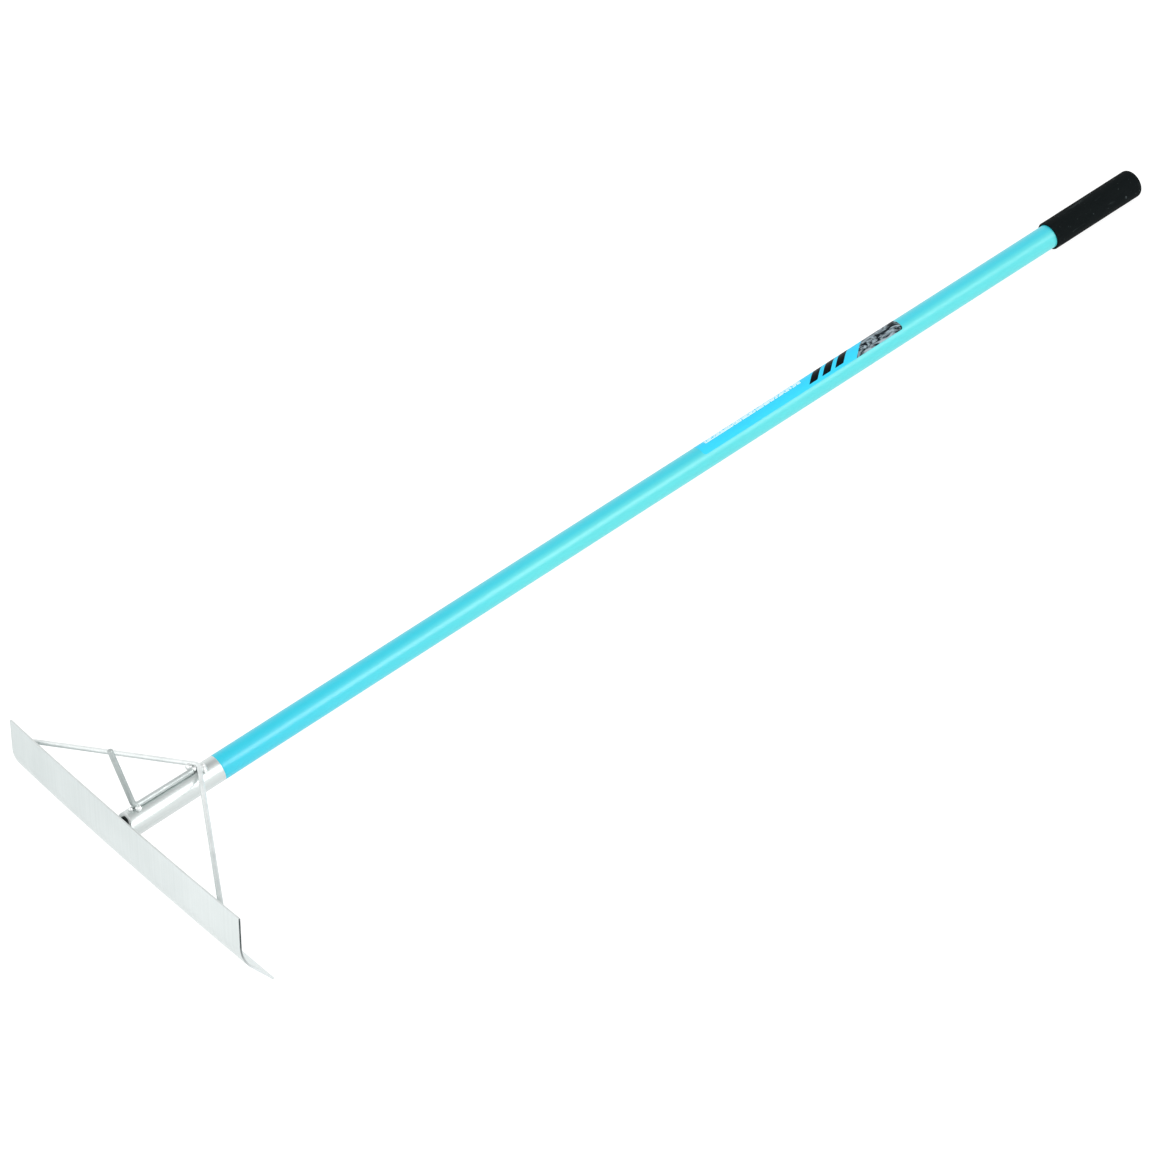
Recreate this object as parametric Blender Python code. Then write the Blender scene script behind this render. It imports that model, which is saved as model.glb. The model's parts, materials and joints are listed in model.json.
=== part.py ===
"""Long-handled draw hoe with a wide bent blade: an aluminium concrete placer.

Everything is modelled in the tool's own frame, in metres, and hung on one empty:
  X  along the blade, Y  along the handle from the blade to the grip, Z  up, towards the hook.
The handle's axis is the line x = z = 0, and the blade's front crosses it at y = 0. The empty
then lays the tool down on its blade lip and the end of its grip, with the origin under the
centre of its box.
"""
import math

import bmesh
import bpy
from mathutils import Matrix, Vector

# ---------------------------------------------------------------- driving dimensions (metres)
GAP = 0.0003                 # clearance between touching pieces

BLADE_LENGTH = 0.500
SHEET = 0.0025               # thickness of the blade
FACE_HEIGHT = 0.038          # flat upper part of the blade, on its front
FACE_LEAN = math.radians(14.5)    # the flat part leans back towards the handle
BEND_RADIUS = 0.044          # on the front of the sheet
BEND_ANGLE = math.radians(44.5)
LIP_HEIGHT = 0.0385          # flat lip below the bend
BLADE_TOP_Z = 0.0203
BLADE_BOW = 0.0027           # the welded blade's ends stand this far back from its middle
BLADE_PANELS = 17            # flat strips that follow the bow, one of them in the middle
EDGE_BREAK = 0.0003

TUBE_RADIUS = 0.016          # of the handle and of the socket tube
SOCKET_WALL = 0.0042
HANDLE_WALL = 0.0018
MOUTH_Y = 0.0080             # the socket tube's mouth is cut on a slant:
MOUTH_SLOPE = 0.57           # y = MOUTH_Y + MOUTH_SLOPE * z
SOCKET_END_Y = 0.1374
HANDLE_END_Y = 1.596
SLEEVE_BORE = 0.0102         # radius of the bore through the stepped joining sleeve
SLEEVE_LENGTH = 0.080        # half of it in each tube

GRIP_RADIUS = 0.019
GRIP_START_Y = 1.4486
GRIP_END_Y = 1.602
GRIP_ROUND = 0.0055          # rounding of the closed end
GRIP_LIP = 0.0008            # rounding of the mouth

BRACE_RADIUS = 0.003
BRACE_APEX_Y = 0.117
BRACE_FOOT_X = 0.2125
BRACE_FOOT_Z = 0.010
BRACE_BEND = 0.012           # centre-line radius of the V's bend

HOOK_RADIUS = 0.0035
HOOK_OFFSET = 0.0014         # the rod lies a little to one side of the tube's crown,
HOOK_REAR_OFFSET = 0.0028    # and further to that side at its rear end
HOOK_REAR_Y = 0.107
HOOK_FOOT_Y = 0.0279         # where the lying leg would meet the rising one
HOOK_TIP_Y = 0.0241
HOOK_TIP_Z = 0.107
HOOK_BEND = 0.0075

RIVET_HOLE = 0.0027
RIVET_SHANK = 0.0024
RIVET_HEAD = 0.0047
RIVET_DOME = 0.0013
RIVET_TAIL = 0.0032
RIVET_FROM_JOINT = 0.020     # distance of each rivet from the joint of the two tubes

LABEL_START_Y = 0.858
LABEL_END_Y = 1.186
LABEL_MIDDLE = math.radians(105)  # measured from +X towards +Z
LABEL_HALF_ANGLE = math.radians(62)
FILM = 0.00015

TUBE_SIDES = 64
ROD_SIDES = 24
BEAD_SIDES = 12
BEND_STEPS = 10

# ---------------------------------------------------------------- colour, roughness, metallic
MATERIALS = {
    "blade_aluminium": ((0.78, 0.80, 0.80), 0.42, 1.0),
    "tube_aluminium": ((0.80, 0.82, 0.82), 0.30, 1.0),
    "rod_aluminium": ((0.74, 0.76, 0.76), 0.35, 1.0),
    "weld_metal": ((0.68, 0.70, 0.70), 0.45, 1.0),
    "rivet_metal": ((0.66, 0.67, 0.68), 0.35, 1.0),
    "handle_paint": ((0.06, 0.64, 0.85), 0.38, 0.0),
    "label_film": ((0.04, 0.56, 0.85), 0.25, 0.0),
    "grip_rubber": ((0.012, 0.014, 0.014), 0.62, 0.0),
}


# ---------------------------------------------------------------- helpers
def clear_scene():
    for obj in list(bpy.data.objects):
        bpy.data.objects.remove(obj, do_unlink=True)


def make_material(name):
    colour, roughness, metallic = MATERIALS[name]
    material = bpy.data.materials.new(name)
    material.use_nodes = True
    shader = material.node_tree.nodes["Principled BSDF"]
    shader.inputs["Base Color"].default_value = (*colour, 1.0)
    shader.inputs["Roughness"].default_value = roughness
    shader.inputs["Metallic"].default_value = metallic
    return material


def add_object(name, bm, frame, material=None):
    """Closes a bmesh into one named object on the tool's frame."""
    bmesh.ops.recalc_face_normals(bm, faces=bm.faces)
    mesh = bpy.data.meshes.new(name)
    bm.to_mesh(mesh)
    bm.free()
    mesh.shade_smooth()
    mesh.set_sharp_from_angle(angle=math.radians(35))
    obj = bpy.data.objects.new(name, mesh)
    obj.parent = frame
    bpy.context.collection.objects.link(obj)
    if material:
        mesh.materials.append(make_material(material))
    return obj


def add_cutter(name, bm, frame):
    obj = add_object(name, bm, frame)
    obj.hide_render = True
    obj.display_type = "WIRE"
    return obj


def cut(obj, *cutters):
    for cutter in cutters:
        boolean = obj.modifiers.new("cut_" + cutter.name, "BOOLEAN")
        boolean.operation = "DIFFERENCE"
        boolean.solver = "EXACT"
        boolean.object = cutter


def lathe_y(outline, sides, closed):
    """Turns an outline of (radius, y) points round the Y axis."""
    bm = bmesh.new()
    verts = [bm.verts.new((radius, y, 0.0)) for radius, y in outline]
    edges = [bm.edges.new(pair) for pair in zip(verts, verts[1:])]
    if closed:
        edges.append(bm.edges.new((verts[-1], verts[0])))
    bmesh.ops.spin(bm, geom=verts + edges, axis=(0, 1, 0), cent=(0, 0, 0),
                   angle=2 * math.pi, steps=sides, use_merge=True)
    bmesh.ops.remove_doubles(bm, verts=bm.verts, dist=1e-6)
    return bm


def round_corner(centre, radius, start, end, steps):
    """Points of an arc in a plane, from one angle to another."""
    angles = [start + (end - start) * i / steps for i in range(steps + 1)]
    return [(centre[0] + radius * math.cos(a), centre[1] + radius * math.sin(a)) for a in angles]


def bent_path(points, radius, steps=BEND_STEPS):
    """A polyline whose inner corners are replaced by tangent arcs of one radius."""
    path = [points[0]]
    for before, corner, after in zip(points, points[1:], points[2:]):
        into = (before - corner).normalized()
        out = (after - corner).normalized()
        half = into.angle(out) / 2
        centre = corner + (into + out).normalized() * (radius / math.sin(half))
        start = corner + into * (radius / math.tan(half)) - centre
        end = corner + out * (radius / math.tan(half)) - centre
        turn = start.angle(end)
        for i in range(steps + 1):
            share = i / steps
            spoke = start * math.sin((1 - share) * turn) + end * math.sin(share * turn)
            path.append(centre + spoke / math.sin(turn))
    path.append(points[-1])
    return path


def skin(bm, rings):
    """Joins a row of equal rings into one closed body."""
    count = len(rings[0])
    for ring, following in zip(rings, rings[1:]):
        for k in range(count):
            after = (k + 1) % count
            bm.faces.new((ring[k], ring[after], following[after], following[k]))
    bm.faces.new(rings[0])
    bm.faces.new(rings[-1])


def sweep(path, radii, sides, start_normal=None, end_normal=None):
    """A round bar along a path, its end faces square or on planes of the given normals."""
    bm = bmesh.new()
    rings = []
    tangents = [(b - a).normalized() for a, b in zip(path, path[1:])]
    tangents = [tangents[0]] + tangents
    side = tangents[0].orthogonal().normalized()
    for index, (point, radius) in enumerate(zip(path, radii)):
        before = tangents[index]
        after = tangents[min(index + 1, len(path) - 1)]
        mean = (before + after).normalized()
        side = (side - mean * side.dot(mean)).normalized()
        up = mean.cross(side)
        ring = []
        for k in range(sides):
            angle = 2 * math.pi * k / sides
            spoke = side * math.cos(angle) + up * math.sin(angle)
            place = point + spoke * radius
            normal = start_normal if index == 0 else end_normal if index == len(path) - 1 else None
            if normal:
                place = place - mean * ((place - point).dot(normal) / mean.dot(normal))
            ring.append(bm.verts.new(place))
        rings.append(ring)
    skin(bm, rings)
    return bm


# ---------------------------------------------------------------- the blade's shape
def face_down():
    """Direction down the flat front of the blade, in (y, z)."""
    return Vector((-math.sin(FACE_LEAN), -math.cos(FACE_LEAN)))


def blade_top():
    """Top front edge of the blade's middle, in (y, z)."""
    return Vector((BLADE_TOP_Z * math.tan(FACE_LEAN), BLADE_TOP_Z))


def blade_outline(depth):
    """The blade's section at a depth behind its front, from the top edge to the lip's tip."""
    inward = Vector((math.cos(FACE_LEAN), -math.sin(FACE_LEAN)))
    bend_start = blade_top() + face_down() * FACE_HEIGHT
    centre = bend_start + inward * BEND_RADIUS
    first = math.pi - FACE_LEAN
    arc = round_corner(centre, BEND_RADIUS - depth, first, first + BEND_ANGLE, BEND_STEPS)
    lip_angle = BEND_ANGLE - FACE_LEAN
    lip = Vector((math.sin(lip_angle), -math.cos(lip_angle))) * LIP_HEIGHT
    tip = Vector(arc[-1]) + lip
    return [tuple(blade_top() + inward * depth)] + arc + [tuple(tip)]


def bow(x):
    """How far back the bowed blade stands at a distance from its middle."""
    return BLADE_BOW * (2 * x / BLADE_LENGTH) ** 2


def blade_body(front, back):
    """The bent sheet between two depths behind the front face, bowed along its length."""
    outline = blade_outline(front) + blade_outline(back)[::-1]
    bm = bmesh.new()
    rings = []
    for i in range(BLADE_PANELS + 1):
        x = BLADE_LENGTH * (i / BLADE_PANELS - 0.5)
        rings.append([bm.verts.new((x, y + bow(x), z)) for y, z in outline])
    skin(bm, rings)
    return bm


def back_y(x, z, clearance=GAP):
    """Where the back of the blade's flat upper part is, plus a clearance."""
    return bow(x) + z * math.tan(FACE_LEAN) + (SHEET + clearance) / math.cos(FACE_LEAN)


def back_normal(x):
    """The direction in which the blade's flat back faces at a place along its length."""
    plan_slope = 8 * BLADE_BOW * x / BLADE_LENGTH ** 2
    return Vector((-plan_slope, 1.0, -math.tan(FACE_LEAN))).normalized()


# ---------------------------------------------------------------- sub-parts
def build_blade(frame):
    blade = add_object("blade", blade_body(0.0, SHEET), frame, "blade_aluminium")
    bevel = blade.modifiers.new("edge_break", "BEVEL")
    bevel.width = EDGE_BREAK
    bevel.segments = 1
    bevel.limit_method = "ANGLE"
    bevel.angle_limit = math.radians(60)


def tube_outline(start, end, wall):
    inner = TUBE_RADIUS - wall
    return [(inner, start), (TUBE_RADIUS, start), (TUBE_RADIUS, end), (inner, end)]


def build_socket_tube(frame, hole):
    outline = tube_outline(0.0, SOCKET_END_Y - GAP / 2, SOCKET_WALL)
    bm = lathe_y(outline, TUBE_SIDES, closed=True)
    for vert in bm.verts:
        if vert.co.y < SOCKET_END_Y / 2:
            vert.co.y = MOUTH_Y + MOUTH_SLOPE * vert.co.z
    cut(add_object("socket_tube", bm, frame, "tube_aluminium"), hole)


def build_handle_tube(frame, hole):
    outline = tube_outline(SOCKET_END_Y + GAP / 2, HANDLE_END_Y, HANDLE_WALL)
    bm = lathe_y(outline, TUBE_SIDES, closed=True)
    cut(add_object("handle_tube", bm, frame, "handle_paint"), hole)


def build_joining_sleeve(frame, holes):
    """A sleeve inside both tubes, with a step where the handle's wider bore begins."""
    in_socket = TUBE_RADIUS - SOCKET_WALL - GAP
    in_handle = TUBE_RADIUS - HANDLE_WALL - GAP
    start = SOCKET_END_Y - SLEEVE_LENGTH / 2
    step = SOCKET_END_Y + GAP / 2
    end = SOCKET_END_Y + SLEEVE_LENGTH / 2
    outline = [(SLEEVE_BORE, start), (in_socket, start), (in_socket, step),
               (in_handle, step), (in_handle, end), (SLEEVE_BORE, end)]
    bm = lathe_y(outline, TUBE_SIDES, closed=True)
    cut(add_object("joining_sleeve", bm, frame, "rivet_metal"), *holes)


def rivet_hole(name, y, frame):
    """A cutter through both walls on the underside, at one place along the handle."""
    depth = TUBE_RADIUS / 2
    bm = bmesh.new()
    bmesh.ops.create_cone(bm, cap_ends=True, segments=ROD_SIDES, radius1=RIVET_HOLE,
                          radius2=RIVET_HOLE, depth=2 * depth)
    bmesh.ops.translate(bm, verts=bm.verts, vec=(0, y, -TUBE_RADIUS))
    return add_cutter(name, bm, frame)


def build_rivet(name, y, frame):
    """A blind rivet: domed head under the tube, shank through both walls, tail inside."""
    head = TUBE_RADIUS + GAP
    shoulder = math.sqrt(SLEEVE_BORE ** 2 - RIVET_TAIL ** 2) - GAP
    outline = [(0.0, head + RIVET_DOME)]
    for i in range(1, 7):
        angle = math.pi / 2 * i / 6
        outline.append((RIVET_HEAD * math.sin(angle), head + RIVET_DOME * math.cos(angle)))
    outline += [(RIVET_SHANK, head), (RIVET_SHANK, shoulder), (RIVET_TAIL, shoulder),
                (RIVET_TAIL, shoulder - 0.002), (RIVET_SHANK, shoulder - 0.0045),
                (0.0, shoulder - 0.005)]
    bm = lathe_y(outline, ROD_SIDES, closed=False)
    rivet = add_object(name, bm, frame, "rivet_metal")
    rivet.rotation_euler = (-math.pi / 2, 0.0, 0.0)
    rivet.location = (0.0, y, 0.0)


def build_grip(frame):
    bore = TUBE_RADIUS + GAP
    bore_end = HANDLE_END_Y + GAP
    start = GRIP_START_Y
    corner = round_corner((GRIP_RADIUS - GRIP_ROUND, GRIP_END_Y - GRIP_ROUND), GRIP_ROUND,
                          0.0, math.pi / 2, 6)
    mouth = round_corner((GRIP_RADIUS - GRIP_LIP, start + GRIP_LIP), GRIP_LIP,
                         -math.pi / 2, 0.0, 3)
    outline = [(0.0, bore_end), (bore, bore_end), (bore, start)] + mouth + corner
    outline.append((0.0, GRIP_END_Y))
    bm = lathe_y(outline, TUBE_SIDES, closed=False)
    add_object("grip", bm, frame, "grip_rubber")


def brace_path():
    """The V rod's centre line, from its left foot over the tube to its right foot."""
    crown = TUBE_RADIUS + BRACE_RADIUS + GAP
    foot_y = back_y(BRACE_FOOT_X, BRACE_FOOT_Z)
    corners = [Vector((-BRACE_FOOT_X, foot_y, BRACE_FOOT_Z)), Vector((0.0, BRACE_APEX_Y, crown)),
               Vector((BRACE_FOOT_X, foot_y, BRACE_FOOT_Z))]
    path = bent_path(corners, BRACE_BEND)
    lift = crown - max(point.z for point in path)
    return [path[0]] + [point + Vector((0, 0, lift)) for point in path[1:-1]] + [path[-1]]


def brace_bar(extra=0.0):
    path = brace_path()
    return sweep(path, [BRACE_RADIUS + extra] * len(path), ROD_SIDES,
                 back_normal(-BRACE_FOOT_X), back_normal(BRACE_FOOT_X))


def build_brace_rod(frame):
    add_object("brace_rod", brace_bar(), frame, "rod_aluminium")


def hook_lift(offset):
    """Height of the lying leg's centre line: the rod rests on the round of the tube."""
    reach = TUBE_RADIUS + HOOK_RADIUS + GAP
    return math.sqrt(reach ** 2 - offset ** 2)


def hook_bar(extra=0.0):
    corners = [Vector((HOOK_REAR_OFFSET, HOOK_REAR_Y + extra, hook_lift(HOOK_REAR_OFFSET))),
               Vector((HOOK_OFFSET, HOOK_FOOT_Y, hook_lift(HOOK_OFFSET))),
               Vector((HOOK_OFFSET, HOOK_TIP_Y, HOOK_TIP_Z))]
    path = bent_path(corners, HOOK_BEND)
    return sweep(path, [HOOK_RADIUS + extra] * len(path), ROD_SIDES)


def build_hook_rod(frame):
    hook = add_object("hook_rod", hook_bar(), frame, "rod_aluminium")
    bevel = hook.modifiers.new("end_break", "BEVEL")
    bevel.width = 0.0006
    bevel.segments = 2
    bevel.limit_method = "ANGLE"
    bevel.angle_limit = math.radians(60)


def build_label(frame):
    """A thin printed film wrapped part of the way round the handle."""
    inner = TUBE_RADIUS + GAP
    steps = 24
    start = LABEL_MIDDLE - LABEL_HALF_ANGLE
    end = LABEL_MIDDLE + LABEL_HALF_ANGLE
    outline = round_corner((0, 0), inner, start, end, steps)
    outline += round_corner((0, 0), inner + FILM, end, start, steps)
    bm = bmesh.new()
    verts = [bm.verts.new((x, LABEL_START_Y, z)) for x, z in outline]
    count = steps + 1
    strips = []
    for i in range(steps):
        corners = (verts[i], verts[i + 1], verts[2 * count - 2 - i], verts[2 * count - 1 - i])
        strips.append(bm.faces.new(corners))
    grown = bmesh.ops.extrude_face_region(bm, geom=strips)
    moved = [item for item in grown["geom"] if isinstance(item, bmesh.types.BMVert)]
    bmesh.ops.translate(bm, verts=moved, vec=(0, LABEL_END_Y - LABEL_START_Y, 0))
    add_object("label", bm, frame, "label_film")


# ---------------------------------------------------------------- welds
def build_cutters(frame):
    """What the weld beads are cut back from: the tube, the two rods and the blade."""
    tube = lathe_y([(0.0, -0.02), (TUBE_RADIUS + GAP, -0.02),
                    (TUBE_RADIUS + GAP, SOCKET_END_Y), (0.0, SOCKET_END_Y)],
                   TUBE_SIDES, closed=False)
    return {
        "tube": add_cutter("cutter_tube", tube, frame),
        "brace": add_cutter("cutter_brace", brace_bar(GAP), frame),
        "hook": add_cutter("cutter_hook", hook_bar(GAP), frame),
        "blade": add_cutter("cutter_blade", blade_body(-0.02, SHEET + GAP), frame),
    }


def build_bead(name, path, radii, cutters, frame):
    """A run of weld metal: a bar with narrowed ends along a path, cut back from its neighbours."""
    steps = len(path) - 1
    narrowed = []
    for i, radius in enumerate(radii):
        from_end = min(i, steps - i) / steps
        narrowed.append(radius * (0.35 + 0.65 * min(1.0, from_end * 5) ** 0.5))
    bead = add_object(name, sweep(path, narrowed, BEAD_SIDES), frame, "weld_metal")
    cut(bead, *cutters)


def build_straight_bead(name, start, end, radius, cutters, frame, steps=8):
    start, end = Vector(start), Vector(end)
    path = [start.lerp(end, i / steps) for i in range(steps + 1)]
    build_bead(name, path, [radius] * len(path), cutters, frame)


def build_socket_bead(name, start, end, cutters, frame, steps=16):
    """Along the outside of the socket tube's foot, wide enough for the gap to the blade."""
    path, radii = [], []
    for i in range(steps + 1):
        angle = start + (end - start) * i / steps
        x = (TUBE_RADIUS + 0.0008) * math.cos(angle)
        z = (TUBE_RADIUS + 0.0008) * math.sin(angle)
        mouth = MOUTH_Y + MOUTH_SLOPE * z
        back = back_y(x, z)
        path.append(Vector((x, (mouth + back) / 2 + 0.001, z)))
        radii.append(min(0.0018 + 0.45 * (mouth - back), 0.0040))
    build_bead(name, path, radii, cutters, frame)


def build_foot_bead(name, side, cutters, frame, steps=12):
    """Round the outer half of a brace rod's foot, on the blade's back."""
    arm = brace_path()[-1] - brace_path()[-2]
    half_length = BRACE_RADIUS / abs(arm.normalized().y) + 0.001
    half_height = BRACE_RADIUS + 0.001
    path = []
    for i in range(steps + 1):
        angle = math.radians(-110 + 220 * i / steps)
        x = side * (BRACE_FOOT_X + half_length * math.cos(angle))
        z = BRACE_FOOT_Z + half_height * math.sin(angle)
        path.append(Vector((x, back_y(x, z) + 0.0006, z)))
    build_bead(name, path, [0.0022] * len(path), cutters, frame)


def build_welds(frame):
    cutters = build_cutters(frame)
    tube, brace, hook, blade = (cutters[key] for key in ("tube", "brace", "hook", "blade"))
    bottom = math.radians(-90)
    meeting = math.radians(2.5)
    for side, word, top in ((1, "right", 18), (-1, "left", -198)):
        build_socket_bead("weld_socket_" + word, math.radians(top), bottom + side * meeting,
                          (tube, blade), frame)
        build_foot_bead("weld_brace_" + word, side, (brace, blade), frame)
        flank = HOOK_OFFSET + side * 0.0045
        height = hook_lift(HOOK_OFFSET) - 0.0018
        build_straight_bead("weld_hook_foot_" + word, (flank, HOOK_FOOT_Y + 0.0065, height),
                            (flank, HOOK_FOOT_Y - 0.0015, height), 0.0038, (tube, hook), frame)
    build_straight_bead("weld_hook_toe", (-0.0022, 0.0232, 0.0174), (0.0030, 0.0232, 0.0174),
                        0.0033, (tube, hook), frame)
    build_straight_bead("weld_hook_rear", (-0.0006, HOOK_REAR_Y + 0.0020, 0.0198),
                        (0.0052, HOOK_REAR_Y + 0.0024, 0.0190), 0.0034, (tube, hook, brace), frame)
    build_straight_bead("weld_apex_left", (-0.0134, 0.1080, 0.0158), (-0.0030, 0.1080, 0.0192),
                        0.0038, (tube, hook, brace), frame)
    build_straight_bead("weld_apex_right", (0.0008, BRACE_APEX_Y + 0.0034, 0.0184),
                        (0.0124, BRACE_APEX_Y, 0.0146), 0.0038, (tube, brace), frame)


# ---------------------------------------------------------------- laying the tool down
def resting_tilt():
    """Angle about X that brings the blade's lip and the grip's end to one level."""
    tip_y, tip_z = blade_outline(0.0)[-1]
    drop = tip_z + GRIP_RADIUS
    run = tip_y + BLADE_BOW - (GRIP_END_Y - GRIP_ROUND)
    return math.atan(drop / run)


def lay_down(frame):
    """Turns the frame to its resting pose and puts the origin under the middle of the box."""
    frame.rotation_euler = (-resting_tilt(), 0.0, 0.0)
    bpy.context.view_layer.update()
    graph = bpy.context.evaluated_depsgraph_get()
    corners = []
    for child in frame.children:
        if not child.hide_render:
            solid = child.evaluated_get(graph)
            corners += [solid.matrix_world @ vert.co for vert in solid.data.vertices]
    low = [min(corner[i] for corner in corners) for i in range(3)]
    high = [max(corner[i] for corner in corners) for i in range(3)]
    frame.location = (-(low[0] + high[0]) / 2, -(low[1] + high[1]) / 2, -low[2])
    bpy.context.view_layer.update()


def main():
    clear_scene()
    frame = bpy.data.objects.new("tool_frame", None)
    bpy.context.collection.objects.link(frame)

    rivets = {"rivet_socket": SOCKET_END_Y - RIVET_FROM_JOINT,
              "rivet_handle": SOCKET_END_Y + RIVET_FROM_JOINT}
    holes = {name: rivet_hole("cutter_" + name, y, frame) for name, y in rivets.items()}

    build_blade(frame)
    build_socket_tube(frame, holes["rivet_socket"])
    build_handle_tube(frame, holes["rivet_handle"])
    build_joining_sleeve(frame, list(holes.values()))
    for name, y in rivets.items():
        build_rivet(name, y, frame)
    build_grip(frame)
    build_brace_rod(frame)
    build_hook_rod(frame)
    build_label(frame)
    build_welds(frame)
    lay_down(frame)


main()
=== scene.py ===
"""Looks for the draw hoe: an aluminium concrete placer with a light blue handle.

Every visible piece is a finer copy of a CAD node, built in the tool's own frame, in metres:
  X  along the blade, Y  along the handle from the blade to the grip, Z  up, towards the hook.
The handle's axis is the line x = z = 0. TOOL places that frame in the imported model's frame.
"""

import json
import math

import bpy
from mathutils import Matrix, Vector, noise


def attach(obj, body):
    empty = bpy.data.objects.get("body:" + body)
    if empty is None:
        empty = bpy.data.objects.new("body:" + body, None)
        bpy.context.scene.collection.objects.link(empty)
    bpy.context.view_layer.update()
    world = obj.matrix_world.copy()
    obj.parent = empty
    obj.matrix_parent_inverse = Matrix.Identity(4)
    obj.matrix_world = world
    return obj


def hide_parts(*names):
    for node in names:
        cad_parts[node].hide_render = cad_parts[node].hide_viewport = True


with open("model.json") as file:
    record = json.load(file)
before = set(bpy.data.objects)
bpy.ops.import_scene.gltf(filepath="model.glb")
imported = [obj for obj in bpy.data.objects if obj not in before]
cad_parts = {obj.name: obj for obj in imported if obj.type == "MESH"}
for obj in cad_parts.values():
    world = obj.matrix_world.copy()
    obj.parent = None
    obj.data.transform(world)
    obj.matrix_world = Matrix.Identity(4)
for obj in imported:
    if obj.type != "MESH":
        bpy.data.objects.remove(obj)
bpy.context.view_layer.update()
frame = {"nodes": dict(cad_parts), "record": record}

# ---------------------------------------------------------------- dimensions (metres)
# They are the CAD's, apart from the hook rod's radius, the grip's lip, the film's thickness, the
# clearances and the welds. The rivets have no tails here.
BLADE_LENGTH = 0.500
SHEET = 0.0025               # thickness of the blade
FACE_HEIGHT = 0.038          # flat upper part of the blade, on its front
FACE_LEAN = math.radians(14.5)    # the flat part leans back towards the handle
BEND_RADIUS = 0.044          # on the front of the sheet
BEND_ANGLE = math.radians(44.5)
LIP_HEIGHT = 0.0385          # flat lip below the bend
BLADE_TOP_Z = 0.0203
BLADE_BOW = 0.0027           # the blade's ends stand this far back from its middle

TUBE_RADIUS = 0.016          # of the handle and of the socket tube
SOCKET_WALL = 0.0042
HANDLE_WALL = 0.0018
MOUTH_Y = 0.0080             # the socket tube's mouth is cut on a slant:
MOUTH_SLOPE = 0.57           # y = MOUTH_Y + MOUTH_SLOPE * z
SOCKET_END_Y = 0.1374
HANDLE_END_Y = 1.596
GRIP_RADIUS = 0.019
GRIP_START_Y = 1.4486
GRIP_END_Y = 1.602
GRIP_ROUND = 0.0055          # rounding of the closed end
GRIP_LIP = 0.0009            # rounding of the mouth, 0.1 mm more than in the CAD

BRACE_RADIUS = 0.003
BRACE_APEX_Y = 0.117
BRACE_FOOT_X = 0.2125
BRACE_FOOT_Z = 0.010
BRACE_BEND = 0.012           # centre-line radius of the V's bend
HOOK_RADIUS = 0.0034         # 0.1 mm less than in the CAD
HOOK_OFFSET = 0.0014         # the rod lies a little to one side of the tube's crown,
HOOK_REAR_OFFSET = 0.0028    # and further to that side at its rear end
HOOK_REAR_Y = 0.107
HOOK_FOOT_Y = 0.0279         # where the lying leg would meet the rising one
HOOK_TIP_Y = 0.0241
HOOK_TIP_Z = 0.107
HOOK_BEND = 0.0075

RIVET_FROM_JOINT = 0.020     # distance of each rivet from the joint of the two tubes
RIVETS = {"rivet_socket": SOCKET_END_Y - RIVET_FROM_JOINT,
          "rivet_handle": SOCKET_END_Y + RIVET_FROM_JOINT}
RIVET_HEAD = 0.0047
RIVET_DOME = 0.0013
RIVET_SHANK = 0.0024
RIVET_REACH = 0.006          # the shank's depth under its head
MANDREL_RADIUS = 0.0020      # of the hollow in the head, round the broken mandrel

LABEL_START_Y = 0.858
LABEL_END_Y = 1.186
LABEL_MIDDLE = math.radians(105)  # measured from +X towards +Z
LABEL_HALF_ANGLE = math.radians(62)
LABEL_CORNER = 0.004
FILM_UNDER = 0.00002         # heights of the film's two faces over the handle
FILM_OVER = 0.00012

# The label's marks: (start, end) along the handle in metres, and round it in degrees.
DASHES, DASHES_ROUND = (0.871, 1.028), (90, 140)
BARS, BARS_ROUND = (1.031, 1.093), (58, 150)
PANEL, PANEL_ROUND = (1.112, 1.300), (43, 152)    # the film ends before the panel does
ROW_PITCH = 0.0021
DASH_PITCH = 0.0019
BAR_PITCH = 0.0215
SLANT = 1.25                 # metres along the handle for each metre round it

# ---------------------------------------------------------------- edges and fineness of the meshes
CLEARANCE = 0.0001           # between touching pieces
POLE = 0.0004                # a turned end closes on a ring of this radius
SHEET_EDGE = 0.0004          # rounding of the sheet's edges
SAWN_EDGE = 0.0003           # rounding of the socket tube's ends
COATED_EDGE = 0.00015        # rounding of the handle tube's ends
BLADE_PANELS = 120
TUBE_SIDES = 128
BRACE_SIDES = 32
HOOK_SIDES = 36
BEAD_SIDES = 36
RIVET_SIDES = 48
LABEL_STEPS = 64
CORNER_STEPS = 8

# ---------------------------------------------------------------- studio
FLOOR_REACH = 14.0
FLOOR_DROP = 0.0003          # the floor lies this far under the part
AMBIENT = 0.90
# soft lobes of the surround: (direction, half width in degrees, added radiance)
LOBES = [((-0.34, 0.24, 0.91), 21, -0.38), ((-0.25, -0.80, 0.50), 40, 0.70),
         ((-0.75, 0.45, 0.35), 36, 0.25), ((0.821, 0.34, 0.459), 14, 4.6)]
KEY_PLACE = (3.4, 0.9, 2.9)
KEY_SIZE = (2.0, 2.0)
KEY_RADIANCE = 0.8
# the camera in the tool's frame
CAMERA_AT = (2.77916, -0.91723, 2.38099)
CAMERA_FORWARD = (-0.692724, 0.390735, -0.606184)
CAMERA_DOWN = (0.393675, -0.499387, -0.771772)
CAMERA_LENS = 104.198        # mm, on a sensor 36 mm wide
CAMERA_SHIFT = 0.00043


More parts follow.
